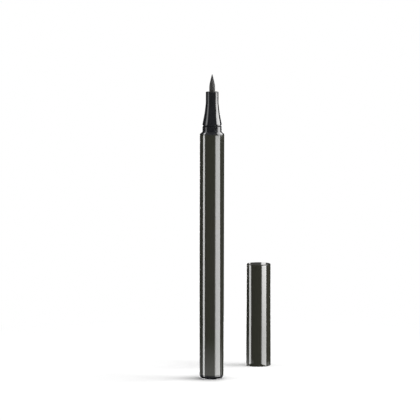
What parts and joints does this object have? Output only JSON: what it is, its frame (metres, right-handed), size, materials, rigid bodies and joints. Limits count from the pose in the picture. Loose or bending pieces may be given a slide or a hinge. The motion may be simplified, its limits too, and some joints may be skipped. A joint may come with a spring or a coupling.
{
  "type": "eyebrow pen",
  "caption": "Felt-tip eyebrow pen on a free-ink body, uncapped and upright on its tail, with its cap and sprung inner seal standing beside it.",
  "frame": {"origin": "centre of the flat tail face that the pen stands on, on the pen's axis", "axes": "+Z along the pen from its tail to its nib, -Y towards the viewer of the picture, +X towards the side that the cap stands on"},
  "size_m": [0.0291, 0.0492, 0.1227],
  "materials": {
    "gunmetal": "dark gunmetal lacquer under a clear high-gloss coat",
    "black_gloss": "high gloss, moulded",
    "black_holder": "moulded, satin",
    "natural_plastic": "natural moulded polypropylene",
    "white_plastic": "moulded, satin",
    "wick_fibre": "bonded fibre rod, ink-stained",
    "nib_felt": "bonded fibre, soaked with dark ink",
    "steel": "polished stainless"
  },
  "bodies": {
    "pen": {"barrel_sleeve": "gunmetal", "tail_plug": "black_gloss", "ink_tank": "natural_plastic", "tank_rear_plug": "white_plastic", "tank_front_plug": "white_plastic", "feed_wick": "wick_fibre", "collector": "white_plastic", "nib": "nib_felt", "nib_holder": "black_holder", "front_section": "black_gloss"},
    "cap": {"cap_shell": "gunmetal", "cap_liner": "natural_plastic", "seal_spring": "steel", "liner_end_plug": "white_plastic"},
    "seal": {"seal_cup": "white_plastic"},
    "ball_1": {"mixing_ball_1": "steel"},
    "ball_2": {"mixing_ball_2": "steel"}
  },
  "joints": [
    {"name": "cap_lift", "type": "slide", "parent": "pen", "child": "cap", "axis": [0, 0, 1], "range_m": [0, 0.13]},
    {"name": "seal_travel", "type": "slide", "parent": "cap", "child": "seal", "axis": [0, 0, 1], "range_m": [0, 0.002], "stiffness_N_per_m": 150, "springref_m": -0.002, "deforming": ["seal_spring"]},
    {"name": "ball_1_slide", "type": "slide", "parent": "pen", "child": "ball_1", "axis": [0, 0, 1], "range_m": [0, 0.0516]},
    {"name": "ball_2_slide", "type": "slide", "parent": "pen", "child": "ball_2", "axis": [0, 0, 1], "range_m": [0, 0.0516]}
  ]
}
